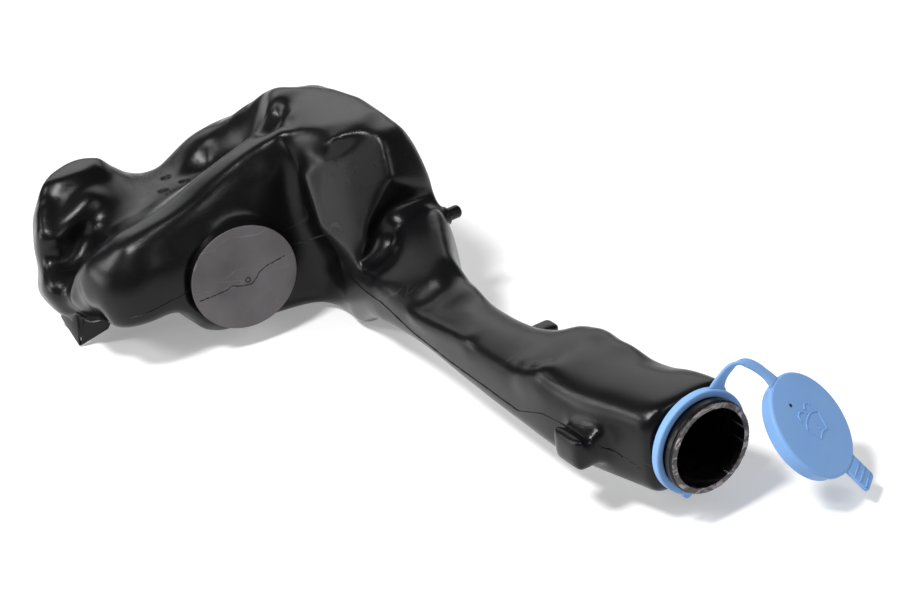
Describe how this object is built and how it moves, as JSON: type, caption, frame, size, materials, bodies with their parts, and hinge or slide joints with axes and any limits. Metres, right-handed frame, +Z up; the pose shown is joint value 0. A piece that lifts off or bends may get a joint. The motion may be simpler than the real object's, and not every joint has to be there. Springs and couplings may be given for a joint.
{
  "type": "washer fluid reservoir",
  "caption": "Blow-moulded washer fluid tank with a long side filler neck, a round boss on the front wall and a tethered push-on filler cap.",
  "frame": {"origin": "centre of the filler mouth's rim", "axes": "+X out of the mouth along the filler neck, +Z up, with the mould's parting plane at z = 0"},
  "size_m": [0.6084, 0.2837, 0.1473],
  "materials": {
    "tank": "semi-gloss black polyethylene with a fine mould grain",
    "cap": "satin light blue soft plastic"
  },
  "bodies": {
    "tank_body": {"tank": "tank"},
    "ring": {"cap_ring": "cap"},
    "strap": {"cap_strap": "cap"},
    "lid": {"cap_lid": "cap"}
  },
  "joints": [
    {"name": "ring_swivel", "type": "hinge", "parent": "tank_body", "child": "ring", "pos_m": [-0.011, 0, 0], "axis": [1, 0, 0], "continuous": true},
    {"name": "strap_swing", "type": "hinge", "parent": "ring", "child": "strap", "pos_m": [-0.00143, 0.03071, 0.01552], "axis": [-0.8528, 0.105, -0.5116], "range_deg": [0, 102.35], "stiffness_Nm_per_rad": 0.05, "deforming": ["cap_strap"]},
    {"name": "lid_push", "type": "slide", "parent": "strap", "child": "lid", "axis": [-0.6689, -0.3911, -0.6322], "range_m": [0, 0.01001]}
  ]
}
